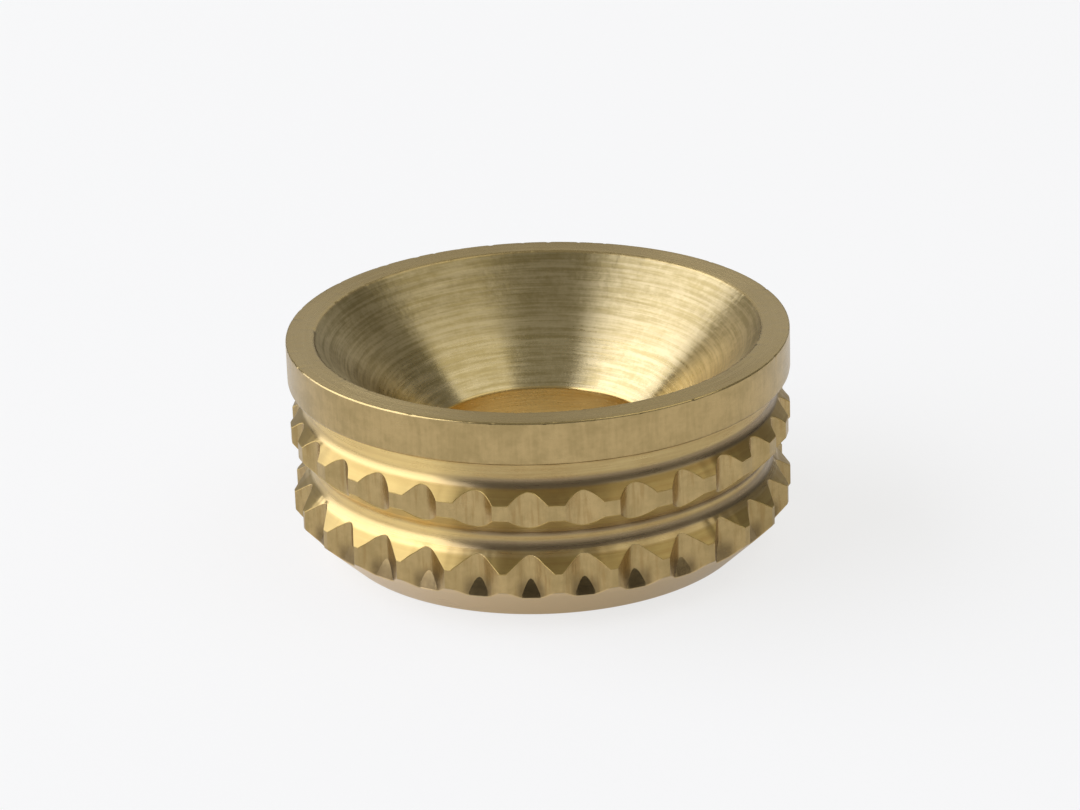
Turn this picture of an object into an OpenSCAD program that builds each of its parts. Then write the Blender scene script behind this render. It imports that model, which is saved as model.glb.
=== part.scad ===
// Turned brass screw cup socket, all in millimetres.
// It stands on its base: the origin is the middle of the base and +Z runs up its axis to the rim.

/* [Cup] */
// Overall height from the flat base to the rim
cup_h = 5.55; // [5.4:0.05:7]
// Diameter of the plain flange at the top
flange_d = 12.7; // [12.6:0.05:13.2]
// Height of the plain flange band
flange_h = 1.12; // [0.9:0.02:1.2]
// Break on the flange's upper corner, at the rim
rim_break = 0.05; // [0.02:0.01:0.1]
// Break on the flange's lower corner, over the upper groove
flange_break = 0.1; // [0.04:0.02:0.12]

/* [Countersink and bore] */
// Diameter of the countersink where it meets the flat rim
mouth_d = 11.3; // [10.6:0.05:11.6]
// Included angle of the countersink, in degrees
seat_angle = 90; // [82:1:95]
// Diameter of the straight bore that the screw's shank runs through
bore_d = 5.7; // [5.4:0.05:6.2]
// Break on the bore's lower corner
bore_break = 0.1; // [0.05:0.05:0.2]

/* [Grooves and rings] */
// Diameter at the floor of the groove between the flange and the upper ring
upper_groove_d = 11.9; // [11.7:0.05:11.9]
// Diameter at the floor of the groove between the two rings
lower_groove_d = 11.66; // [11.6:0.02:11.8]
// Radius left in the corners of both grooves
groove_fillet = 0.2; // [0.1:0.02:0.2]
// Diameter over the crests of both knurled rings
crest_d = 12.68; // [12.6:0.02:12.7]
// Depth below the rim at which the upper ring's crest begins
upper_crest_top = 2.16; // [2.1:0.02:2.2]
// Height of the upper ring's crest
upper_crest_h = 0.42; // [0.3:0.02:0.44]
// Depth below the rim at which the lower ring's crest begins
lower_crest_top = 3.96; // [3.92:0.02:4.1]
// Height of the lower ring's crest
lower_crest_h = 0.5; // [0.4:0.02:0.6]
// Diameter across the flat base's outer corner
base_d = 10.4; // [10.2:0.05:10.8]

/* [Knurl] */
// Number of teeth round each ring
teeth = 29; // [25:1:30]
// Turn of the knurl about the axis, in degrees
knurl_turn = -3.4; // [-6:0.1:6]
// Depth of an upper notch below the crest
upper_notch_depth = 0.28; // [0.2:0.02:0.3]
// Radius of the round bottom of an upper notch
upper_notch_r = 0.55; // [0.4:0.05:0.7]
// Depth of a lower notch below the crest
lower_notch_depth = 0.38; // [0.3:0.02:0.4]
// Width across a lower notch at the crest
lower_notch_w = 1.2; // [1:0.02:1.3]
// Width of the narrow floor of a lower notch
lower_floor_w = 0.26; // [0.2:0.02:0.3]
// Depth below the rim at which a lower notch's floor begins to run out
runout_top = 4.22; // [4.1:0.02:4.3]
// Lean of that run-out from the upright, in degrees
runout_angle = 15; // [10:1:30]

/* [Hidden] */
$fn = 96;
eps = 0.5;                                    // how far a cutter reaches past what it cuts
fillet_steps = 4;                             // straight steps in a groove's corner
seat_depth = (mouth_d - bore_d) / 2 / tan(seat_angle / 2);
upper_groove_r = upper_groove_d / 2;
lower_groove_r = lower_groove_d / 2;
crest_r = crest_d / 2;
upper_crest_low = upper_crest_top + upper_crest_h;
upper_ramp = crest_r - upper_groove_r;        // rise and run of the 45 degree side in the upper groove
lower_ramp = crest_r - lower_groove_r;        // the same for the two sides in the lower groove

// Height above the base of a place given as a depth below the rim
function up(depth) = cup_h - depth;

// Corner of a groove: an arc about [r, z] from angle a to angle b
function corner(r, z, a, b) = [
    for (i = [0 : fillet_steps])
        let (t = a + (b - a) * i / fillet_steps)
            [r + groove_fillet * cos(t), z + groove_fillet * sin(t)]
];

// Reach of a fillet along a groove's floor where it meets a 45 degree side
function ramp_reach() = groove_fillet * tan(22.5);

// Half section of the whole cup, from the base round the outside and back down the bore
function cup_section() = concat(
    [
        [bore_d / 2 + bore_break, 0],
        [base_d / 2, 0],
        [crest_r, up(lower_crest_top + lower_crest_h)],
        [crest_r, up(lower_crest_top)]
    ],
    corner(lower_groove_r + groove_fillet, up(lower_crest_top - lower_ramp) + ramp_reach(), 225, 180),
    corner(lower_groove_r + groove_fillet, up(upper_crest_low + lower_ramp) - ramp_reach(), 180, 135),
    [
        [crest_r, up(upper_crest_low)],
        [crest_r, up(upper_crest_top)]
    ],
    corner(upper_groove_r + groove_fillet, up(upper_crest_top - upper_ramp) + ramp_reach(), 225, 180),
    corner(upper_groove_r + groove_fillet, up(flange_h) - groove_fillet, 180, 90),
    [
        [flange_d / 2 - flange_break, up(flange_h)],
        [flange_d / 2, up(flange_h - flange_break)],
        [flange_d / 2, up(rim_break)],
        [flange_d / 2 - rim_break, up(0)],
        [mouth_d / 2, up(0)],
        [bore_d / 2, up(seat_depth)],
        [bore_d / 2, bore_break]
    ]
);

// The turned body
module turned_body() {
    rotate_extrude() polygon(cup_section());
}

// Lower notch seen along the axis: a narrow floor and two straight flanks, opening outwards along +X
module lower_notch_outline() {
    floor_x = crest_r - lower_notch_depth;
    widen = 1 + eps / lower_notch_depth;
    far_w = lower_floor_w + (lower_notch_w - lower_floor_w) * widen;
    polygon([
        [floor_x, -lower_floor_w / 2],
        [crest_r + eps, -far_w / 2],
        [crest_r + eps, far_w / 2],
        [floor_x, lower_floor_w / 2]
    ]);
}

// Side view of a lower notch: straight down, then leaning outwards until it leaves the metal
module runout_outline() {
    reach = lower_notch_depth + eps;
    polygon([
        [crest_r - lower_notch_depth, up(lower_crest_top - lower_ramp)],
        [crest_r - lower_notch_depth, up(runout_top)],
        [crest_r + eps, up(runout_top) - reach / tan(runout_angle)],
        [crest_r + eps, up(lower_crest_top - lower_ramp)]
    ]);
}

// One round notch across the upper ring
module upper_notch() {
    translate([crest_r - upper_notch_depth + upper_notch_r, 0, up(upper_crest_low + lower_ramp)])
        cylinder(r = upper_notch_r, h = upper_crest_h + lower_ramp + upper_ramp, $fn = 32);
}

// One notch down the lower ring, closed at its lower end
module lower_notch() {
    intersection() {
        linear_extrude(up(lower_crest_top - lower_ramp)) lower_notch_outline();
        rotate([90, 0, 0])
            translate([0, 0, -2 * lower_notch_w])
                linear_extrude(4 * lower_notch_w) runout_outline();
    }
}

// Straight knurl: the same notches repeated round both rings
module knurl() {
    for (i = [0 : teeth - 1])
        rotate(knurl_turn - 90 + 360 * i / teeth) {
            upper_notch();
            lower_notch();
        }
}

module screw_cup() {
    color([0.80, 0.64, 0.36])
        difference() {
            turned_body();
            knurl();
        }
}

screw_cup();
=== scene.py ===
"""Looks of a turned brass screw cup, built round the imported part.

The cup is one piece of brass: a flat rim round a countersink, a straight bore, a plain flange
band, and two rings knurled with a straight knurl. Sizes are in millimetres until a mesh is
finished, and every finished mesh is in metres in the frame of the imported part.
"""

import logging
import math
import random
from dataclasses import dataclass, field
from enum import Enum

import bmesh
import bpy
from mathutils import Matrix, Vector, noise


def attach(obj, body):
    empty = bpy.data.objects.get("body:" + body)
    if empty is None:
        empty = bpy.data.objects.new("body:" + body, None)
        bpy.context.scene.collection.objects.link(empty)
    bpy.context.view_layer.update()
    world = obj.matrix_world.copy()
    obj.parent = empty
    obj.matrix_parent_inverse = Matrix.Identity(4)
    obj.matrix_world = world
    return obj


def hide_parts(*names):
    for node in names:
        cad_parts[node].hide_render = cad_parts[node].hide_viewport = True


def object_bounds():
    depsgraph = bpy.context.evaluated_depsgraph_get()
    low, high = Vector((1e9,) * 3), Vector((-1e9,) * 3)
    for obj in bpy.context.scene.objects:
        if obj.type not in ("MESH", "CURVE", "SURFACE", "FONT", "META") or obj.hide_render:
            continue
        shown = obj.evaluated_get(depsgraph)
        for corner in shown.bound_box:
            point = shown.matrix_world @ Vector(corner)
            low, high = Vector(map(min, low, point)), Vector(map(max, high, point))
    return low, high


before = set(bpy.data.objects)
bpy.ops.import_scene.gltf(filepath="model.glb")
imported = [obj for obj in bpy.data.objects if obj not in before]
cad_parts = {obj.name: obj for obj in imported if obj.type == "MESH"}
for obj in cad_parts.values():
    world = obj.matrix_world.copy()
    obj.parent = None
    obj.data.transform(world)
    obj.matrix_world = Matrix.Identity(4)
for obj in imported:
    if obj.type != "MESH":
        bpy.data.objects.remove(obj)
CAD_LOW, CAD_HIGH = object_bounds()

LOG = logging.getLogger("screw_cup")
MM = 0.001
CUP_NODE = "screw_cup"


class Row(Enum):
    """Rows of vertices in the turned section that the knurl moves."""

    PLAIN = 0
    UPPER_TOP = 1
    UPPER_BOTTOM = 2
    LOWER_TOP = 3
    LOWER_RUNOUT = 4
    LOWER_BOTTOM = 5


class Grain(Enum):
    """Which way a tool's marks run, with the shader's turn for it as a share of a full turn."""

    ROUND = 0.25
    UPRIGHT = 0.0


# ---- Shader maths ----


class Shade:
    """One output socket of a node, on which Python's operators add Math nodes."""

    def __init__(self, graph: "Graph", socket: bpy.types.NodeSocket) -> None:
        """Wraps a socket.

        Args:
            graph: the graph that new nodes go into.
            socket: the output socket that carries the value.
        """
        self.graph = graph
        self.socket = socket

    def _math(self, operation: str, first: object, second: object = None) -> "Shade":
        """Adds one Math node.

        Args:
            operation: the Math node's operation.
            first: the first value or Shade.
            second: the second value or Shade, where the operation has one.

        Returns:
            The node's result.
        """
        inputs = {0: first} if second is None else {0: first, 1: second}
        return self.graph.add("ShaderNodeMath", {"operation": operation}, inputs)

    def __add__(self, other: object) -> "Shade":
        """Sum."""
        return self._math("ADD", self, other)

    __radd__ = __add__

    def __sub__(self, other: object) -> "Shade":
        """Difference."""
        return self._math("SUBTRACT", self, other)

    def __rsub__(self, other: object) -> "Shade":
        """Difference, with the number first."""
        return self._math("SUBTRACT", other, self)

    def __mul__(self, other: object) -> "Shade":
        """Product."""
        return self._math("MULTIPLY", self, other)

    __rmul__ = __mul__

    def __truediv__(self, other: object) -> "Shade":
        """Quotient."""
        return self._math("DIVIDE", self, other)

    def root(self) -> "Shade":
        """Square root."""
        return self._math("SQRT", self)

    def wave(self) -> "Shade":
        """Sine."""
        return self._math("SINE", self)

    def band(self, low: float, high: float) -> "Shade":
        """Smooth step from 0 at low to 1 at high, or down where low is above high.

        Args:
            low: where the step begins.
            high: where the step ends.

        Returns:
            The stepped value.
        """
        start, end = (0.0, 1.0) if low < high else (1.0, 0.0)
        settings = {"interpolation_type": "SMOOTHSTEP"}
        inputs = {"Value": self, "From Min": min(low, high), "From Max": max(low, high),
                  "To Min": start, "To Max": end}
        return self.graph.add("ShaderNodeMapRange", settings, inputs, "Result")


class Graph:
    """Node tree of one material or world, emptied and ready to fill."""

    def __init__(self, owner: bpy.types.ID) -> None:
        """Empties the owner's node tree.

        Args:
            owner: a material or a world.
        """
        owner.use_nodes = True
        self.tree = owner.node_tree
        self.tree.nodes.clear()

    def add(self, kind: str, settings: dict, inputs: dict, output: object = 0) -> Shade:
        """Adds a node.

        Args:
            kind: the node's type.
            settings: attributes of the node, set first.
            inputs: socket names or numbers with their values or links.
            output: name or number of the output to return.

        Returns:
            The chosen output.
        """
        node = self.tree.nodes.new(kind)
        for name, value in settings.items():
            setattr(node, name, value)
        for key, value in inputs.items():
            if isinstance(value, Shade):
                self.tree.links.new(value.socket, node.inputs[key])
            else:
                node.inputs[key].default_value = value
        return Shade(self, node.outputs[output]) if node.outputs else None

    def mix(self, factor: object, first: object, second: object) -> Shade:
        """Mixes two colours.

        Args:
            factor: share of the second colour.
            first: colour or link.
            second: colour or link.

        Returns:
            The mixed colour.
        """
        return self.add("ShaderNodeMix", {"data_type": "RGBA"}, {0: factor, 6: first, 7: second}, 2)

    def blend(self, factor: object, first: Shade, second: Shade) -> Shade:
        """Mixes two shaders.

        Args:
            factor: share of the second shader.
            first: the first shader.
            second: the second shader.

        Returns:
            The mixed shader.
        """
        return self.add("ShaderNodeMixShader", {}, {0: factor, 1: first, 2: second})


@dataclass(frozen=True)
class Pattern:
    """Noise drawn out along a tool's marks.

    Attributes:
        grain: which way the marks run.
        out: how fast it changes with the distance from the axis, per millimetre.
        rise: how fast it changes with height, per millimetre.
        around: how fast it changes on a circle of radius 1 round the axis.
        detail: number of finer layers.
        roughness: strength of each finer layer against the one before.
    """

    grain: Grain
    out: float
    rise: float
    around: float
    detail: float
    roughness: float = 0.6


PATTERNS = {
    "marks": Pattern(Grain.ROUND, out=9.0, rise=9.0, around=2.5, detail=3.0),
    "thin": Pattern(Grain.ROUND, out=15.0, rise=15.0, around=1.8, detail=1.0),
    "fine": Pattern(Grain.ROUND, out=30.0, rise=30.0, around=5.0, detail=2.0),
    "specks": Pattern(Grain.ROUND, out=12.0, rise=12.0, around=45.0, detail=1.0),
    "mottle": Pattern(Grain.ROUND, out=4.0, rise=4.0, around=22.0, detail=2.0),
    "drawn": Pattern(Grain.UPRIGHT, out=1.5, rise=1.2, around=70.0, detail=2.0),
    "cloud": Pattern(Grain.UPRIGHT, out=1.2, rise=1.2, around=7.0, detail=3.0),
}


class Surface:
    """Places on a turned piece as shader values in millimetres, and the noises over them.

    Attributes:
        graph: the material's graph.
        radius: distance from the axis.
        up: height.
        cosine: cosine of the direction round the axis, measured from the right.
        sine: its sine.
        noises: the noises by name, each from 0 to 1.
    """

    def __init__(self, graph: Graph) -> None:
        """Reads the object's own coordinates.

        Args:
            graph: the material's graph.
        """
        self.graph = graph
        place = graph.add("ShaderNodeTexCoord", {}, {}, "Object")
        across, along, self.up = (
            graph.add("ShaderNodeSeparateXYZ", {}, {0: place}, axis) / MM for axis in range(3))
        self.radius = (across * across + along * along).root()
        self.cosine, self.sine = across / self.radius, along / self.radius
        self.noises = {name: self._noise(pattern) for name, pattern in PATTERNS.items()}

    def _noise(self, pattern: Pattern) -> Shade:
        """Adds a noise texture over four coordinates.

        Args:
            pattern: how fast the noise changes each way.

        Returns:
            The noise, from 0 to 1.
        """
        out, rise = self.radius * pattern.out, self.up * pattern.rise
        cosine, sine = self.cosine * pattern.around, self.sine * pattern.around
        if pattern.grain is Grain.ROUND:
            first_three, fourth = (out, rise, cosine), sine
        else:
            first_three, fourth = (cosine, sine, rise), out
        combined = self.graph.add("ShaderNodeCombineXYZ", {}, dict(enumerate(first_three)))
        inputs = {"Vector": combined, "W": fourth, "Scale": 1.0, "Detail": pattern.detail,
                  "Roughness": pattern.roughness}
        return self.graph.add("ShaderNodeTexNoise", {"noise_dimensions": "4D"}, inputs)

    def weigh(self, **shares: float) -> Shade:
        """Adds up noises.

        Args:
            **shares: each noise's name with its share.

        Returns:
            The weighted sum.
        """
        return sum(self.noises[name] * share for name, share in shares.items())

    def swing(self, **shares: float) -> Shade:
        """Adds up noises so that the sum swings about 0.

        Args:
            **shares: each noise's name with its share.

        Returns:
            The weighted sum less its middle.
        """
        return self.weigh(**shares) - sum(shares.values()) / 2.0


# ---- Finishes ----


@dataclass(frozen=True)
class Metal:
    """One state of the brass.

    Attributes:
        grain: which way its marks run.
        anisotropy: how much the marks stretch a highlight.
        relief: how strongly the marks show as relief.
        relief_height: height of the relief, in millimetres.
    """

    grain: Grain
    anisotropy: float
    relief: float
    relief_height: float = 0.02

    def make(self, graph: Graph, colour: Shade, rough: Shade, marks: Shade) -> Shade:
        """Adds the shader.

        Args:
            graph: the material's graph.
            colour: the metal's colour.
            rough: its roughness.
            marks: height of its marks, from 0 to 1.

        Returns:
            The shader.
        """
        bump = graph.add("ShaderNodeBump", {}, {
            "Strength": self.relief, "Distance": self.relief_height * MM, "Height": marks})
        return graph.add("ShaderNodeBsdfPrincipled", {}, {
            "Base Color": colour, "Metallic": 1.0, "Roughness": rough, "Normal": bump,
            "Anisotropic": self.anisotropy, "Anisotropic Rotation": self.grain.value}, "BSDF")


@dataclass(frozen=True)
class BrassFinish:
    """Bright brass, uncoated, in three states that masks put together.

    Inside, the countersink, the bore and the rim's flat face are turned. The two grooves and the
    rings' sloping sides are turned too, and smoother. Outside, the flange band, the knurl's faces
    and the chamfer keep the upright marks of the drawn bar. A pair of numbers is the place where a
    smooth step begins and the place where it is full.
    """

    section: "CupSection"
    name: str = "turned_brass"
    inside: Metal = Metal(Grain.ROUND, anisotropy=0.95, relief=0.30)
    grooved: Metal = Metal(Grain.ROUND, anisotropy=0.92, relief=0.12)
    outside: Metal = Metal(Grain.UPRIGHT, anisotropy=0.60, relief=0.14)

    # Colours: a wall is a groove's floor, and a cone is a ring's sloping side.
    mouth_dark: tuple = (0.44, 0.34, 0.142, 1.0)
    mouth_pale: tuple = (0.69, 0.56, 0.295, 1.0)
    face_metal: tuple = (0.57, 0.415, 0.165, 1.0)
    # Paler colour of the bore: painted light, making up for the dim inside of the cup that it mirrors.
    bore_lightened: tuple = (0.72, 0.52, 0.20, 1.0)
    wall_metal: tuple = (0.66, 0.50, 0.225, 1.0)
    # Paler groove colour on the side towards the left lamp: a painted highlight.
    lamp_side_highlight: tuple = (0.76, 0.56, 0.22, 1.0)
    cone_metal: tuple = (0.55, 0.40, 0.14, 1.0)
    drawn_dark: tuple = (0.41, 0.30, 0.13, 1.0)
    drawn_pale: tuple = (0.53, 0.385, 0.175, 1.0)
    # Paler colour of the chamfer: painted light, making up for the shaded table under the cup that it
    # mirrors.
    chamfer_lightened: tuple = (0.74, 0.55, 0.29, 1.0)
    # Dark brown of film and stains, and also painted shade where the film grows away from the lamp.
    film_and_shade: tuple = (0.36, 0.20, 0.06, 1.0)
    # Painted shade in the grooves' corners.
    corner_shade: tuple = (0.26, 0.195, 0.125, 1.0)
    # Painted shade in the lower notches' run-outs.
    pit_shade: tuple = (0.20, 0.14, 0.065, 1.0)

    foot_roughness: float = 0.24
    mouth_roughness: float = 0.42
    face_roughness: float = 0.26
    wall_roughness: float = 0.29
    cone_roughness: float = 0.38
    drawn_roughness: float = 0.24

    # The countersink's turning marks: the width of one, and how far the noise moves it.
    feed: float = 0.15
    wander: float = 0.25
    # Its tone by noise, its roughness from foot to mouth by radius, and its patches by radius.
    tone_step: tuple = (0.40, 0.60)
    polish_step: tuple = (3.0, 5.5)
    patch_step: tuple = (4.0, 5.0)
    patch_tone: float = 0.14
    patch_relief: float = 1.3
    # The rim's flat face, by depth below the rim and by radius, and the bore, by distance from it, which
    # is painted paler as painted light.
    face_depths: tuple = (0.06, 0.02)
    face_step: tuple = (5.5, 5.6)
    face_share: float = 0.8
    bore_reach: tuple = (0.06, 0.02)

    # The cones begin this far out from the upper groove's wall.
    cone_reach: tuple = (0.04, 0.12)
    # The grooves keep their plain colour where the cosine of the direction passes this step, and towards
    # the left lamp take a paler colour as a painted highlight.
    lamp_side_step: tuple = (-0.50, -0.20)
    # Film covers the grooves where their tone is below a level, and more of it away from the lamp as
    # painted shade. Painted shade darkens the grooves' corners, more away from the lamp too.
    film_level: float = 0.60
    film_growth: float = 1.0
    film_away_growth: float = 1.5
    corner_share: float = 0.15
    corner_away_share: float = 0.60
    # A corner's painted shade ends this far under and over the corner, and this far out from the wall.
    corner_under: tuple = (0.12, 0.04)
    corner_over: float = 0.22
    hidden_corner_over: float = 0.08
    corner_out: tuple = (0.14, 0.06)

    # The bar's tone by noise, and the stains in the notches by noise and by distance in.
    streak_step: tuple = (0.38, 0.62)
    stain_step: tuple = (0.52, 0.34)
    stain_inset: tuple = (0.04, 0.10)
    stain_share: float = 0.28
    # Painted shade in the lower notches, speckled, by depth below the rim and by distance in from the
    # crest.
    pit_depths: tuple = (4.05, 4.50)
    pit_inset: tuple = (0.12, 0.27)
    pit_share: float = 0.55
    pit_specks: float = 0.5
    # The chamfer is painted paler as painted light, below its upper edge and on its own slope.
    chamfer_fall: float = 0.06
    chamfer_seam: tuple = (0.04, 0.01)
    chamfer_share: float = 0.8

    # The outside begins at these depths and radii at the rim, and heights and insets at the base.
    rim_depths: tuple = (0.02, 0.05)
    rim_step: tuple = (5.70, 5.75)
    base_heights: tuple = (1.3, 1.2)
    base_inset: tuple = (0.05, 0.01)
    # The grooves end this far past a cone, and this far above the flange band's lower edge.
    cone_seam: tuple = (0.03, 0.01)
    flange_seam: float = 0.04

    def make(self) -> bpy.types.Material:
        """Builds the material.

        Returns:
            The finished material.
        """
        material = bpy.data.materials.new(self.name)
        surface = Surface(Graph(material))
        graph = surface.graph
        uneven = surface.swing(fine=0.14, cloud=0.08)
        outer = graph.blend(self._groove_mask(surface), self._drawn_bar(surface, uneven),
                            self._turned_grooves(surface, uneven))
        whole = graph.blend(self._outer_mask(surface), self._turned_mouth(surface, uneven), outer)
        graph.add("ShaderNodeOutputMaterial", {}, {"Surface": whole})
        return material

    def _turned_mouth(self, surface: Surface, uneven: Shade) -> Shade:
        """Adds the shader of the countersink, the bore and the rim's flat face.

        Args:
            surface: places and noises.
            uneven: small changes of roughness.

        Returns:
            The shader.
        """
        cup, graph, radius, up = self.section, surface.graph, surface.radius, surface.up
        places = radius + up + surface.weigh(marks=self.wander)
        lines = (places * (math.pi / self.feed)).wave() * 0.5 + 0.5
        patches = surface.swing(mottle=1.0) * radius.band(*self.patch_step)
        tone = self._tone(surface) + patches * self.patch_tone
        colour = graph.mix(tone.band(*self.tone_step), self.mouth_dark, self.mouth_pale)
        face_low, face_high = (cup.up(depth) for depth in self.face_depths)
        face = up.band(face_low, face_high) * radius.band(*self.face_step)
        colour = graph.mix(face * self.face_share, colour, self.face_metal)
        # The bore is painted paler: painted light.
        bore_end, bore_full = (cup.bore_radius + reach for reach in self.bore_reach)
        colour = graph.mix(radius.band(bore_end, bore_full), colour, self.bore_lightened)
        rough = radius.band(*self.polish_step) * (self.mouth_roughness - self.foot_roughness)
        rough = rough + self.foot_roughness - face * (self.mouth_roughness - self.face_roughness)
        rough = rough + surface.swing(thin=0.20, specks=0.06) + uneven
        marks = surface.weigh(marks=0.3, thin=0.45, fine=0.1, specks=0.1) + lines * 0.15
        return self.inside.make(graph, colour, rough, marks + patches * self.patch_relief)

    def _turned_grooves(self, surface: Surface, uneven: Shade) -> Shade:
        """Adds the shader of the two grooves and the rings' sloping sides.

        Args:
            surface: places and noises.
            uneven: small changes of roughness.

        Returns:
            The shader.
        """
        graph, radius = surface.graph, surface.radius
        cone_start, cone_full = (self.section.upper_groove_radius + reach for reach in self.cone_reach)
        leaning = radius.band(cone_start, cone_full)
        # 0 towards the left lamp and 1 away from it: the grooves are painted paler towards the lamp as a
        # painted highlight.
        away_from_lamp = surface.cosine.band(*self.lamp_side_step)
        colour = graph.mix(away_from_lamp, self.lamp_side_highlight, self.wall_metal)
        colour = graph.mix(leaning, colour, self.cone_metal)
        # Film by tone, and more of it away from the lamp as painted shade.
        growth = away_from_lamp * self.film_away_growth + self.film_growth
        colour = graph.mix((self.film_level - self._tone(surface)) * growth, colour, self.film_and_shade)
        # Painted shade in the grooves' corners, deeper away from the lamp.
        share = away_from_lamp * self.corner_away_share + self.corner_share
        colour = graph.mix(self._corner_mask(surface) * share, colour, self.corner_shade)
        rough = leaning * (self.cone_roughness - self.wall_roughness) + self.wall_roughness
        return self.grooved.make(graph, colour, rough + uneven, surface.weigh(marks=0.6, fine=0.4))

    def _drawn_bar(self, surface: Surface, uneven: Shade) -> Shade:
        """Adds the shader of the flange band, the knurl's faces and the chamfer.

        Args:
            surface: places and noises.
            uneven: small changes of roughness.

        Returns:
            The shader.
        """
        cup, graph, up = self.section, surface.graph, surface.up
        inwards = cup.crest_radius - surface.radius
        streaks = surface.weigh(drawn=0.25, cloud=0.40, mottle=0.25, specks=0.10)
        colour = graph.mix(streaks.band(*self.streak_step), self.drawn_dark, self.drawn_pale)
        stains = surface.noises["drawn"].band(*self.stain_step) * inwards.band(*self.stain_inset)
        colour = graph.mix(stains * self.stain_share, colour, self.film_and_shade)
        # Painted shade in the lower notches' run-outs, speckled by noise.
        pit_top, pit_full = (cup.up(depth) for depth in self.pit_depths)
        pits = up.band(pit_top, pit_full) * inwards.band(*self.pit_inset)
        pits = pits * (surface.weigh(specks=self.pit_specks) + self.pit_share)
        colour = graph.mix(pits, colour, self.pit_shade)
        # The chamfer is painted paler: painted light.
        chamfer_top = cup.chamfer_top
        above = inwards * cup.chamfer_slope + up - chamfer_top
        chamfer = up.band(chamfer_top, chamfer_top - self.chamfer_fall) * above.band(*self.chamfer_seam)
        colour = graph.mix(chamfer * self.chamfer_share, colour, self.chamfer_lightened)
        marks = surface.weigh(drawn=0.7, mottle=0.6)
        return self.outside.make(graph, colour, uneven + self.drawn_roughness, marks)

    def _tone(self, surface: Surface) -> Shade:
        """Tone of the turned metal, from dark to pale."""
        return surface.weigh(marks=0.35, thin=0.25, fine=0.1, specks=0.1, cloud=0.2)

    def _outer_mask(self, surface: Surface) -> Shade:
        """Finds everything outside the rim's flat face and the base's.

        Args:
            surface: places and noises.

        Returns:
            1 on the outside and 0 elsewhere.
        """
        cup, radius, up = self.section, surface.radius, surface.up
        rim_start, rim_full = (cup.up(depth) for depth in self.rim_depths)
        base_start, base_full = (cup.base_radius - inset for inset in self.base_inset)
        upper = up.band(rim_start, rim_full) * radius.band(*self.rim_step)
        lower = up.band(*self.base_heights) * radius.band(base_start, base_full)
        return (upper + lower).band(0.0, 1.0)

    def _groove_mask(self, surface: Surface) -> Shade:
        """Finds the two turned grooves and their sloping sides.

        Args:
            surface: places and noises.

        Returns:
            1 in the grooves and 0 on the flange band, the knurl's faces and the chamfer.
        """
        cup, up = self.section, surface.up
        inwards = cup.crest_radius - surface.radius
        flange_low = cup.up(cup.flange_height)
        below = up.band(flange_low + self.flange_seam, flange_low)
        over_upper = (inwards + cup.up(cup.upper_crest_top) - up).band(*self.cone_seam)
        under_upper = (inwards - cup.up(cup.upper_crest_low) + up).band(*self.cone_seam)
        over_lower = (inwards + cup.up(cup.lower_crest_top) - up).band(*self.cone_seam)
        return below * (over_upper + under_upper * over_lower).band(0.0, 1.0)

    def _corner_mask(self, surface: Surface) -> Shade:
        """Finds the corners of the two grooves, where shade is painted.

        Args:
            surface: places and noises.

        Returns:
            1 in the corners and 0 elsewhere in the grooves.
        """
        cup = self.section
        over_upper = cup.up(cup.upper_crest_top - cup.upper_ramp)
        over_lower = cup.up(cup.lower_crest_top - cup.lower_ramp)
        under_upper = cup.up(cup.upper_crest_low + cup.lower_ramp)
        return (self._corner(surface, cup.upper_groove_radius, over_upper, self.corner_over)
                + self._corner(surface, cup.lower_groove_radius, over_lower, self.corner_over)
                + self._corner(surface, cup.lower_groove_radius, under_upper, self.hidden_corner_over))

    def _corner(self, surface: Surface, wall: float, height: float, over: float) -> Shade:
        """Finds one corner of a groove.

        Args:
            surface: places and noises.
            wall: radius of the groove's floor.
            height: height of the corner.
            over: how far above it the painted shade ends.

        Returns:
            1 in the corner and 0 elsewhere in the grooves.
        """
        low, low_full = (height - under for under in self.corner_under)
        end, full = (wall + out for out in self.corner_out)
        near = surface.up.band(low, low_full) * surface.up.band(height + over, height + over / 2.0)
        return near * surface.radius.band(end, full)


@dataclass(frozen=True)
class TableFinish:
    """Plain white table that takes the cup's shadow.

    Attributes:
        name: the material's name.
        paint: colour of the table.
        roughness: roughness of the table.
        seen_lift: how much lighter the camera sees it than the lamps leave it, from 0 to 1.
        mirrored_lift: how much lighter the brass mirrors it.
    """

    name: str = "white_table"
    paint: tuple = (0.93, 0.92, 0.87, 1.0)
    roughness: float = 0.9
    seen_lift: float = 0.74
    mirrored_lift: float = 0.34

    def make(self) -> bpy.types.Material:
        """Builds the material.

        Returns:
            The finished material.
        """
        material = bpy.data.materials.new(self.name)
        graph = Graph(material)
        paint = graph.add("ShaderNodeBsdfPrincipled", {}, {
            "Base Color": self.paint, "Roughness": self.roughness}, "BSDF")
        glow = graph.add("ShaderNodeEmission", {}, {"Strength": 1.0})
        seen = graph.add("ShaderNodeLightPath", {}, {}, "Is Camera Ray")
        mirrored = (graph.add("ShaderNodeLightPath", {}, {}, "Is Glossy Ray")
                    + graph.add("ShaderNodeLightPath", {}, {}, "Is Transmission Ray"))
        lift = seen * self.seen_lift + mirrored * self.mirrored_lift
        graph.add("ShaderNodeOutputMaterial", {}, {"Surface": graph.blend(lift, paint, glow)})
        return material


# ---- The cup ----


@dataclass
class Corner:
    """One corner of the turned section.

    Attributes:
        radius: distance from the axis.
        height: height above the base.
        row: what the knurl does with it.
        round: how far from the corner its rounding starts, or 0.
        steps: straight steps in the rounding.
        cuts: cuts in the stretch from this corner to the next.
    """

    radius: float
    height: float
    row: Row = Row.PLAIN
    round: float = 0.0
    steps: int = 2
    cuts: int = 0


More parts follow.
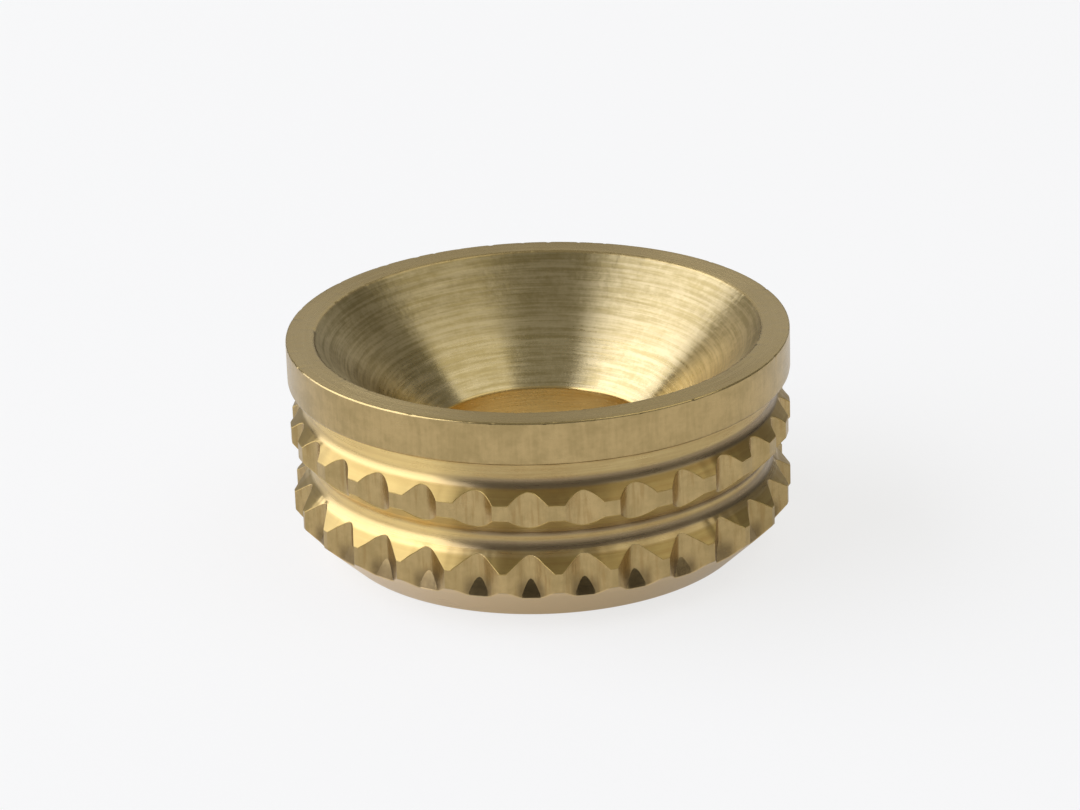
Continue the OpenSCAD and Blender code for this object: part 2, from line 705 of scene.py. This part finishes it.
@dataclass
class Notch:
    """One tooth space of the knurl, with its own small departures from the rule.

    Attributes:
        turn: how far it strays round the axis, in radians.
        upper_depth: depth of the upper notch.
        upper_half: half the upper notch's width at the crest.
        upper_power: power of its round bottom.
        lower_depth: depth of the lower notch.
        lower_half: half the lower notch's width at the crest.
        lower_blend: roundness of its floor.
    """

    turn: float
    upper_depth: float
    upper_half: float
    upper_power: float
    lower_depth: float
    lower_half: float
    lower_blend: float


@dataclass
class Knurl:
    """Straight knurl round both rings.

    Attributes:
        crest: radius over the crests.
        teeth: number of teeth round a ring.
        turn: turn of the first notch from the front, in radians.
        wander: how far notches stray from their places, as a share of a pitch.
        upper_depth: depth of a plain upper notch.
        upper_half: half its width at the crest.
        upper_power: power of its round bottom.
        lower_depth: depth of a plain lower notch.
        lower_half: half its width at the crest.
        lower_blend: roundness of its floor.
        runout_top: depth below the rim at which a lower notch's floor begins to run out.
        runout_lean: lean of that run-out from the upright, in radians.
        burr_height: height of the burrs on the rings' edges.
        burr_pace: how fast they change round a ring, on a circle of radius 1.
        burr_gap: distance in the noise from one edge's burrs to the next edge's.
        burr_layer: how much finer their finer layer is.
        burr_layer_share: strength of that layer.
        under_burr: height of the burrs under the upper ring against those over it.
        seed: seed of the small differences from tooth to tooth.
        notches: the notches, drawn from the seed.
    """

    crest: float
    teeth: int = 29
    turn: float = math.radians(-3.4)
    wander: float = 0.025
    upper_depth: float = 0.28
    upper_half: float = 0.48
    upper_power: float = 1.9
    lower_depth: float = 0.38
    lower_half: float = 0.60
    lower_blend: float = 0.167
    runout_top: float = 4.22
    runout_lean: float = math.radians(15.0)
    burr_height: float = 0.022
    burr_pace: float = 22.0
    burr_gap: float = 5.3
    burr_layer: float = 2.3
    burr_layer_share: float = 0.5
    under_burr: float = 0.6
    seed: int = 7
    notches: list = field(default_factory=list)

    def __post_init__(self) -> None:
        """Draws each notch's small differences."""
        draw = random.Random(self.seed)
        for _ in range(self.teeth):
            self.notches.append(Notch(
                turn=draw.uniform(-self.wander, self.wander) * self.pitch,
                upper_depth=self.upper_depth * draw.uniform(0.93, 1.06),
                upper_half=self.upper_half * draw.uniform(0.94, 1.06),
                upper_power=self.upper_power * draw.uniform(0.9, 1.15),
                lower_depth=self.lower_depth * draw.uniform(0.95, 1.04),
                lower_half=self.lower_half * draw.uniform(0.95, 1.05),
                lower_blend=self.lower_blend * draw.uniform(0.8, 1.3)))

    @property
    def pitch(self) -> float:
        """Angle from one notch to the next."""
        return 2.0 * math.pi / self.teeth

    @property
    def land(self) -> float:
        """Half a pitch, measured round the crest."""
        return self.pitch * self.crest / 2.0

    def place(self, angle: float) -> tuple:
        """Finds the notch that a place belongs to.

        Args:
            angle: angle round the axis from the front, in radians.

        Returns:
            The notch's number and the distance from its middle, measured round the crest.
        """
        place = (angle - self.turn) / self.pitch
        number = math.floor(place + 0.5)
        return number % self.teeth, (place - number) * self.pitch * self.crest

    def burr(self, row: Row, angle: float) -> float:
        """Height of the burr that rolling leaves on a ring's edge.

        Args:
            row: the edge's row in the section.
            angle: angle round the axis from the front, in radians.

        Returns:
            The height, below 0 where the edge dips.
        """
        pace = self.burr_pace
        spot = Vector((math.sin(angle) * pace, math.cos(angle) * pace, row.value * self.burr_gap))
        layer = noise.noise(spot * self.burr_layer)
        return self.burr_height * (noise.noise(spot) + self.burr_layer_share * layer)

    def stretch(self, across: float, plain: float, wanted: float) -> float:
        """Slides a place so that a column on the plain notch's edge falls on this notch's edge.

        Args:
            across: distance from the notch's middle.
            plain: half width of a plain notch.
            wanted: half width of this notch.

        Returns:
            The new distance.
        """
        size = abs(across)
        moved = size * wanted / plain if size < plain else (
            wanted + (size - plain) * (self.land - wanted) / (self.land - plain))
        return math.copysign(moved, across)

    def upper_radius(self, notch: Notch, across: float) -> float:
        """Radius of the upper ring across a notch: a round-bottomed hollow between lands."""
        share = min(1.0, abs(across) / notch.upper_half)
        return self.crest - notch.upper_depth * (1.0 - share ** notch.upper_power)

    def lower_radius(self, notch: Notch, across: float) -> float:
        """Radius of the lower ring across a notch: a wide V with a rounded floor."""
        blend = notch.lower_blend
        rise = math.hypot(across, blend) - blend
        full = math.hypot(notch.lower_half, blend) - blend
        return self.crest - notch.lower_depth * (1.0 - min(1.0, rise / full))


@dataclass
class CupSection:
    """Turned section of the cup, with the driving sizes in millimetres.

    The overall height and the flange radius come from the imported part. A ring's crest is placed by
    its depth below the rim. A ring's side leans in as far as it runs up or down, and bowl_share is
    the dressed curve at the foot of an upper side against the plain fillet.
    """

    height: float = CAD_HIGH.z / MM
    flange_radius: float = CAD_HIGH.x / MM
    flange_height: float = 1.12
    mouth_radius: float = 5.65
    bore_radius: float = 2.85
    bore_break: float = 0.10
    upper_groove_radius: float = 5.95
    lower_groove_radius: float = 5.83
    crest_radius: float = 6.34
    base_radius: float = 5.20
    upper_crest_top: float = 2.16
    upper_crest_height: float = 0.42
    lower_crest_top: float = 3.96
    lower_crest_height: float = 0.50
    groove_fillet: float = 0.20
    side_lean: float = math.radians(45.0)
    flange_break: float = 0.10
    rim_break: float = 0.05
    base_round: float = 0.05
    seat_round: float = 0.04
    bore_round: float = 0.02
    runout_gap: float = 0.04
    bowl_share: float = 1.45

    @property
    def upper_crest_low(self) -> float:
        """Depth below the rim at which the upper ring's crest ends."""
        return self.upper_crest_top + self.upper_crest_height

    @property
    def upper_ramp(self) -> float:
        """Rise and run of the sloping side in the upper groove."""
        return self.crest_radius - self.upper_groove_radius

    @property
    def lower_ramp(self) -> float:
        """Rise and run of the two sloping sides in the lower groove."""
        return self.crest_radius - self.lower_groove_radius

    @property
    def chamfer_top(self) -> float:
        """Height of the chamfer's upper edge, at the lower ring's crest."""
        return self.up(self.lower_crest_top + self.lower_crest_height)

    @property
    def chamfer_slope(self) -> float:
        """Rise of the chamfer for each millimetre outwards."""
        return self.chamfer_top / (self.crest_radius - self.base_radius)

    def up(self, depth: float) -> float:
        """Height above the base of a place given as a depth below the rim."""
        return self.height - depth

    def chamfer_height(self, radius: float) -> float:
        """Height of the chamfer under the lower ring at a radius."""
        share = (self.crest_radius - radius) / (self.crest_radius - self.base_radius)
        return self.chamfer_top * (1.0 - share)

    def corners(self) -> list:
        """Corners of the closed half section, from the bore's foot outwards and up.

        Returns:
            The corners in order.
        """
        bore, base, crest = self.bore_radius, self.base_radius, self.crest_radius
        upper_floor, lower_floor = self.upper_groove_radius, self.lower_groove_radius
        over_lower = self.up(self.lower_crest_top - self.lower_ramp)
        over_upper = self.up(self.upper_crest_top - self.upper_ramp)
        upper_foot = self.up(self.upper_crest_low)
        flange, flange_foot = self.flange_radius, self.up(self.flange_height)
        seat_depth = self.mouth_radius - bore
        reach = self.groove_fillet * math.tan(self.side_lean / 2.0)
        bowl = self.bowl_share * reach
        return [
            Corner(bore, self.bore_break, round=self.bore_round, steps=1),
            Corner(bore + self.bore_break, 0.0, round=self.bore_round, steps=1, cuts=2),
            Corner(base, 0.0, round=self.base_round, steps=3, cuts=1),
            Corner(crest, self.chamfer_top, Row.LOWER_BOTTOM),
            Corner(crest, self.chamfer_top + self.runout_gap, Row.LOWER_RUNOUT),
            Corner(crest, self.up(self.lower_crest_top), Row.LOWER_TOP),
            Corner(lower_floor, over_lower, round=bowl, steps=6),
            Corner(lower_floor, upper_foot - self.lower_ramp, round=reach, steps=5),
            Corner(crest, upper_foot, Row.UPPER_BOTTOM),
            Corner(crest, self.up(self.upper_crest_top), Row.UPPER_TOP),
            Corner(upper_floor, over_upper, round=bowl, steps=6),
            Corner(upper_floor, flange_foot, round=self.groove_fillet, steps=6),
            Corner(flange, flange_foot, round=self.flange_break, steps=4, cuts=4),
            Corner(flange, self.height, round=self.rim_break, steps=3, cuts=2),
            Corner(self.mouth_radius, self.height, round=self.rim_break, steps=3, cuts=12),
            Corner(bore, self.up(seat_depth), round=self.seat_round, steps=2, cuts=4),
        ]

    def stations(self) -> list:
        """Corners of the half section together with the even cuts between them.

        Returns:
            The corners and cuts in order.
        """
        corners = self.corners()
        stations = []
        for corner, after in zip(corners, corners[1:] + corners[:1]):
            stations.append(corner)
            for cut in range(1, corner.cuts + 1):
                share = cut / (corner.cuts + 1)
                stations.append(Corner(corner.radius + (after.radius - corner.radius) * share,
                                       corner.height + (after.height - corner.height) * share))
        return stations


@dataclass
class ScrewCup:
    """The whole cup as one closed mesh.

    Attributes:
        section: the turned section.
        name: the piece's name.
        weld: distance within which vertices are one.
        half_columns: columns of faces in half a lower notch. The upper notch's edge is on a column.
        edge_break: width of the breaks on the knurl's outer edges.
        break_steps: faces across a break.
        break_margin: how far from the flange band and from the base's edge the breaks begin.
        sharp_angle: angle from which an edge counts as sharp, in radians.
        pit_angle: the same for an inner edge of a lower notch's run-out.
        nick_reach: how near the rim's edges a vertex is nicked.
        nick_pace: how fast the nicks' noise changes, per millimetre.
        nick_layers: places in the noise of the outer and the inner edge's nicks.
        nick_level: value of the noise above which there is a nick.
        nick_growth: depth of a nick for the noise above that level.
        nick_limit: depth of the deepest nick.
    """

    section: CupSection = field(default_factory=CupSection)
    name: str = "brass_cup"
    weld: float = 0.0005
    half_columns: int = 10
    edge_break: float = 0.022
    break_steps: int = 2
    break_margin: float = 0.3
    sharp_angle: float = math.radians(26.0)
    pit_angle: float = math.radians(8.0)
    nick_reach: float = 0.06
    nick_pace: float = 4.7
    nick_layers: tuple = (4.0, 9.0)
    nick_level: float = 0.30
    nick_growth: float = 0.05
    nick_limit: float = 0.012

    def __post_init__(self) -> None:
        """Sets out the knurl on the section's crest, with columns where its edges fall."""
        self.knurl = Knurl(crest=self.section.crest_radius)
        column = self.knurl.lower_half / self.half_columns
        self.columns = [self.knurl.land] + [column * n for n in range(self.half_columns, -1, -1)]
        self.runouts = set()

    def build(self) -> bpy.types.Object:
        """Makes the cup.

        Returns:
            The finished object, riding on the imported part.
        """
        bm = bmesh.new()
        self._draw_section(bm)
        self._turn(bm)
        self._roll_knurl(bm)
        self._nick_rim(bm)
        self._break_edges(bm)
        bmesh.ops.recalc_face_normals(bm, faces=bm.faces)
        mesh = bpy.data.meshes.new(self.name)
        bm.to_mesh(mesh)
        bm.free()
        piece = bpy.data.objects.new(self.name, mesh)
        bpy.context.scene.collection.objects.link(piece)
        mesh = self._even_shading(piece)
        mesh.materials.append(BrassFinish(self.section).make())
        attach(piece, "root")
        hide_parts(CUP_NODE)
        LOG.info("%s: %d faces", self.name, len(mesh.polygons))
        return piece

    def _even_shading(self, piece: bpy.types.Object) -> bpy.types.Mesh:
        """Weights the normals by face area, so that flat faces shade flat, then scales to metres.

        Faces measured in metres are too small for the modifier to tell apart.

        Args:
            piece: the object, with its mesh in millimetres.

        Returns:
            The object's new mesh.
        """
        weighted = piece.modifiers.new("even_shading", "WEIGHTED_NORMAL")
        weighted.keep_sharp = True
        shaded = piece.evaluated_get(bpy.context.evaluated_depsgraph_get())
        mesh = bpy.data.meshes.new_from_object(shaded)
        mesh.transform(Matrix.Scale(MM, 4))
        piece.modifiers.clear()
        piece.data = mesh
        return mesh

    def _draw_section(self, bm: bmesh.types.BMesh) -> None:
        """Draws the half section at the first crest and rounds its corners.

        Args:
            bm: the empty mesh.
        """
        corners = self.section.stations()
        start = self.knurl.turn - self.knurl.pitch / 2.0
        across = Vector((math.sin(start), -math.cos(start), 0.0))
        verts = [bm.verts.new(across * c.radius + Vector((0.0, 0.0, c.height))) for c in corners]
        for number, vert in enumerate(verts):
            bm.edges.new((vert, verts[(number + 1) % len(verts)]))
        for vert, corner in zip(verts, corners):
            if corner.round > 0.0:
                bmesh.ops.bevel(bm, geom=[vert], offset=corner.round, offset_type="OFFSET",
                                segments=corner.steps, profile=0.5, affect="VERTICES", material=-1)

    def _turn(self, bm: bmesh.types.BMesh) -> None:
        """Spins the section through one tooth, column by column, then that tooth round the axis.

        Args:
            bm: the mesh, holding the section.
        """
        centre, axis = (0.0, 0.0, 0.0), (0.0, 0.0, 1.0)
        half = [(a - b) / self.knurl.crest for a, b in zip(self.columns, self.columns[1:])]
        edge = list(bm.verts) + list(bm.edges)
        for angle in half + half[::-1]:
            edge = bmesh.ops.spin(bm, geom=edge, cent=centre, axis=axis, angle=angle, steps=1)["geom_last"]
        tooth = list(bm.verts) + list(bm.edges) + list(bm.faces)
        copies = self.knurl.teeth - 1
        bmesh.ops.spin(bm, geom=tooth, cent=centre, axis=axis, angle=self.knurl.pitch * copies,
                       steps=copies, use_duplicate=True)
        bmesh.ops.remove_doubles(bm, verts=bm.verts, dist=self.weld)
        bmesh.ops.recalc_face_normals(bm, faces=bm.faces)

    def _roll_knurl(self, bm: bmesh.types.BMesh) -> None:
        """Moves the rows of the rings' crests in to the notches.

        Args:
            bm: the turned mesh.
        """
        rows = [corner for corner in self.section.corners() if corner.row is not Row.PLAIN]
        for vert in bm.verts:
            radius, height = math.hypot(vert.co.x, vert.co.y), vert.co.z
            found = [c.row for c in rows if math.hypot(radius - c.radius, height - c.height) < self.weld]
            if found:
                if found[0] is Row.LOWER_RUNOUT:
                    self.runouts.add(vert)
                angle, radius, height = self._knurled(found[0], math.atan2(vert.co.x, -vert.co.y))
                vert.co = Vector((math.sin(angle) * radius, -math.cos(angle) * radius, height))

    def _nick_rim(self, bm: bmesh.types.BMesh) -> None:
        """Presses small nicks into the rim's outer and inner edges.

        Args:
            bm: the turned mesh.
        """
        section = self.section
        outer_layer, inner_layer = self.nick_layers
        for vert in bm.verts:
            radius = math.hypot(vert.co.x, vert.co.y)
            outer = radius > section.flange_radius - self.nick_reach
            inner = radius < section.mouth_radius + self.nick_reach
            if vert.co.z < section.height - self.nick_reach or not (outer or inner):
                continue
            layer = outer_layer if outer else inner_layer
            spot = Vector((vert.co.x * self.nick_pace, vert.co.y * self.nick_pace, layer))
            over = noise.noise(spot) - self.nick_level
            if over > 0.0:
                depth = min(over * self.nick_growth, self.nick_limit)
                inwards = Vector((vert.co.x, vert.co.y, 0.0)) * (-depth / radius if outer else 0.0)
                vert.co += inwards - Vector((0.0, 0.0, depth))

    def _knurled(self, row: Row, angle: float) -> tuple:
        """Finds where a place on a row of the section goes.

        Args:
            row: the row.
            angle: angle of the place round the axis from the front, in radians.

        Returns:
            The angle, the radius and the height.
        """
        knurl = self.knurl
        number, across = knurl.place(angle)
        notch = knurl.notches[number]
        upper = row in (Row.UPPER_TOP, Row.UPPER_BOTTOM)
        plain, wanted = (knurl.upper_half, notch.upper_half) if upper else (
            knurl.lower_half, notch.lower_half)
        middle = angle + notch.turn * (1.0 - abs(across) / knurl.land) - across / knurl.crest
        across = knurl.stretch(across, plain, wanted)
        angle = middle + across / knurl.crest
        burr = knurl.burr(row, angle)
        if upper:
            radius = knurl.upper_radius(notch, across)
            return angle, radius, self._upper_height(row, radius, burr)
        radius = knurl.lower_radius(notch, across)
        if row is Row.LOWER_BOTTOM:
            radius = max(radius, self._exit_radius(notch))
        return angle, radius, self._lower_height(row, notch, radius, burr)

    def _upper_height(self, row: Row, radius: float, burr: float) -> float:
        """Height of a place on the upper ring's edges, which follow its sloping sides inwards.

        Args:
            row: the upper or the lower edge.
            radius: radius of the place.
            burr: height of the burr there.

        Returns:
            The height.
        """
        section, crest = self.section, self.section.crest_radius
        if row is Row.UPPER_TOP:
            return section.up(section.upper_crest_top) + crest - radius + burr
        return section.up(section.upper_crest_low) - crest + radius - burr * self.knurl.under_burr

    def _lower_height(self, row: Row, notch: Notch, radius: float, burr: float) -> float:
        """Height of a place on the lower ring's rows.

        Args:
            row: the row.
            notch: the notch that the place belongs to.
            radius: radius of the place.
            burr: height of the burr on the upper edge.

        Returns:
            The height.
        """
        section, knurl = self.section, self.knurl
        if row is Row.LOWER_TOP:
            return section.up(section.lower_crest_top) + burr + section.crest_radius - radius
        foot = section.chamfer_height(max(radius, self._exit_radius(notch)))
        if row is Row.LOWER_BOTTOM:
            return foot
        floor = knurl.crest - notch.lower_depth
        fall = (radius - floor) / math.tan(knurl.runout_lean)
        return max(section.up(knurl.runout_top) - fall, foot + section.runout_gap)

    def _exit_radius(self, notch: Notch) -> float:
        """Radius at which a lower notch's run-out meets the chamfer.

        Args:
            notch: the notch.

        Returns:
            The radius.
        """
        section, knurl = self.section, self.knurl
        steep, slope = 1.0 / math.tan(knurl.runout_lean), section.chamfer_slope
        start = section.up(knurl.runout_top) + (knurl.crest - notch.lower_depth) * steep
        return (start - section.chamfer_top + slope * section.crest_radius) / (steep + slope)

    def _break_edges(self, bm: bmesh.types.BMesh) -> None:
        """Rounds the knurl's sharp outer edges a little and keeps its inner ones crisp.

        Args:
            bm: the knurled mesh.
        """
        bm.normal_update()
        highest = self.section.up(self.section.flange_height + self.break_margin)
        innermost = self.section.base_radius + self.break_margin
        keen = []
        for edge in bm.edges:
            middle = (edge.verts[0].co + edge.verts[1].co) / 2.0
            inward = math.hypot(middle.x, middle.y) < innermost
            if inward or max(vert.co.z for vert in edge.verts) > highest:
                continue
            angle = edge.calc_face_angle_signed(0.0)
            if angle > self.sharp_angle:
                keen.append(edge)
            elif angle < -(self.pit_angle if self.runouts.issuperset(edge.verts) else self.sharp_angle):
                edge.smooth = False
        bmesh.ops.bevel(bm, geom=keen, offset=self.edge_break, offset_type="OFFSET",
                        segments=self.break_steps, profile=0.5, affect="EDGES", clamp_overlap=True,
                        material=-1)
        for face in bm.faces:
            face.smooth = True


# ---- Studio and camera ----


@dataclass
class Camera:
    """Camera on a long lens, looking slightly down at the front.

    Attributes:
        name: the camera's name.
        elevation: height of the view above the horizon, in radians.
        roll: turn of the camera about its own line of sight, in radians.
        distance: distance from the middle of the rim, in millimetres.
        lens: focal length, in millimetres.
        sensor: width of the sensor, in millimetres.
        aim_depth: depth below the rim of the point on the axis that the camera looks at.
        clip: nearest and farthest distances that it sees, in metres.
    """

    name: str = "front_camera"
    elevation: float = math.radians(21.03)
    roll: float = math.radians(-1.95)
    distance: float = 101.6
    lens: float = 134.39
    sensor: float = 36.0
    aim_depth: float = 2.12
    clip: tuple = (0.01, 10.0)

    def build(self) -> bpy.types.Object:
        """Makes the camera and gives it to the scene.

        Returns:
            The camera.
        """
        data = bpy.data.cameras.new(self.name)
        data.sensor_width = self.sensor
        data.lens = self.lens
        data.clip_start, data.clip_end = self.clip
        camera = bpy.data.objects.new(self.name, data)
        bpy.context.scene.collection.objects.link(camera)
        back = Vector((0.0, -math.cos(self.elevation), math.sin(self.elevation)))
        place = Vector((0.0, 0.0, CAD_HIGH.z)) + back * self.distance * MM
        aim = Vector((0.0, 0.0, CAD_HIGH.z - self.aim_depth * MM))
        turn = (aim - place).to_track_quat("-Z", "Y").to_matrix().to_4x4()
        camera.matrix_world = Matrix.Translation(place) @ turn @ Matrix.Rotation(self.roll, 4, "Z")
        bpy.context.scene.camera = camera
        return camera


@dataclass
class Softbox:
    """Square or oblong lamp that faces a point on the cup.

    Attributes:
        name: what the lamp is.
        azimuth: where it stands, from the front towards the right, in degrees.
        elevation: how high it stands, in degrees.
        distance: how far away, in metres.
        size: width and height, in metres.
        radiance: brightness of its face.
        roll: turn about its own middle, in degrees.
        tint: colour of its light.
    """

    name: str
    azimuth: float
    elevation: float
    distance: float
    size: tuple
    radiance: float
    roll: float = 0.0
    tint: tuple = (1.0, 1.0, 1.0)

    def build(self) -> bpy.types.Object:
        """Makes the lamp.

        Returns:
            The lamp.
        """
        data = bpy.data.lights.new(self.name, "AREA")
        data.shape = "RECTANGLE"
        data.size, data.size_y = self.size
        data.color = self.tint
        data.energy = self.radiance * math.pi * self.size[0] * self.size[1]
        lamp = bpy.data.objects.new(self.name, data)
        bpy.context.scene.collection.objects.link(lamp)
        turn, rise = math.radians(self.azimuth), math.radians(self.elevation)
        out = Vector((math.sin(turn) * math.cos(rise), -math.cos(turn) * math.cos(rise), math.sin(rise)))
        facing = (-out).to_track_quat("-Z", "Y").to_matrix().to_4x4()
        roll = Matrix.Rotation(math.radians(self.roll), 4, "Z")
        lamp.matrix_world = Matrix.Translation(out * self.distance) @ facing @ roll
        return lamp


@dataclass
class Studio:
    """White table, soft lamps and a dim room round them.

    Attributes:
        table_size: side of the table, in metres.
        horizon: brightness of the room at the horizon and below.
        ceiling: its brightness overhead.
        rise: heights of the view's direction between which it brightens.
        lamps: the lamps.
    """

    table_size: float = 2.0
    horizon: float = 0.08
    ceiling: float = 0.42
    rise: tuple = (0.05, 0.95)
    lamps: tuple = (
        Softbox("left_softbox", azimuth=-88.0, elevation=27.0, distance=0.6, size=(1.02, 0.75),
                radiance=2.3, tint=(0.96, 1.0, 1.2)),
        Softbox("right_softbox", azimuth=83.0, elevation=58.0, distance=0.6, size=(0.46, 0.46),
                radiance=0.82, roll=45.0),
        Softbox("back_card", azimuth=180.0, elevation=25.0, distance=0.9, size=(1.2, 0.45),
                radiance=0.40),
    )

    def build(self) -> None:
        """Makes the table, the lamps and the room."""
        self._lay_table()
        for lamp in self.lamps:
            lamp.build()
        self._light_room()

    def _lay_table(self) -> None:
        """Makes the table."""
        bm = bmesh.new()
        bmesh.ops.create_grid(bm, x_segments=1, y_segments=1, size=self.table_size / 2.0)
        mesh = bpy.data.meshes.new("table")
        bm.to_mesh(mesh)
        bm.free()
        table = bpy.data.objects.new("table", mesh)
        bpy.context.scene.collection.objects.link(table)
        mesh.materials.append(TableFinish().make())

    def _light_room(self) -> None:
        """Makes the room a dim world that brightens from the horizon upwards."""
        world = bpy.data.worlds.new("room")
        bpy.context.scene.world = world
        graph = Graph(world)
        way = graph.add("ShaderNodeTexCoord", {}, {}, "Generated")
        height = graph.add("ShaderNodeSeparateXYZ", {}, {0: way}, 2)
        low = graph.add("ShaderNodeBackground", {}, {"Strength": self.horizon}, "Background")
        high = graph.add("ShaderNodeBackground", {}, {"Strength": self.ceiling}, "Background")
        room = graph.blend(height.band(*self.rise), low, high)
        graph.add("ShaderNodeOutputWorld", {}, {"Surface": room})


def main() -> None:
    """Builds the camera, the cup and the studio."""
    logging.basicConfig(level=logging.INFO)
    bpy.context.scene.view_settings.view_transform = "Standard"
    Camera().build()
    ScrewCup().build()
    Studio().build()


if __name__ == "__main__":
    main()
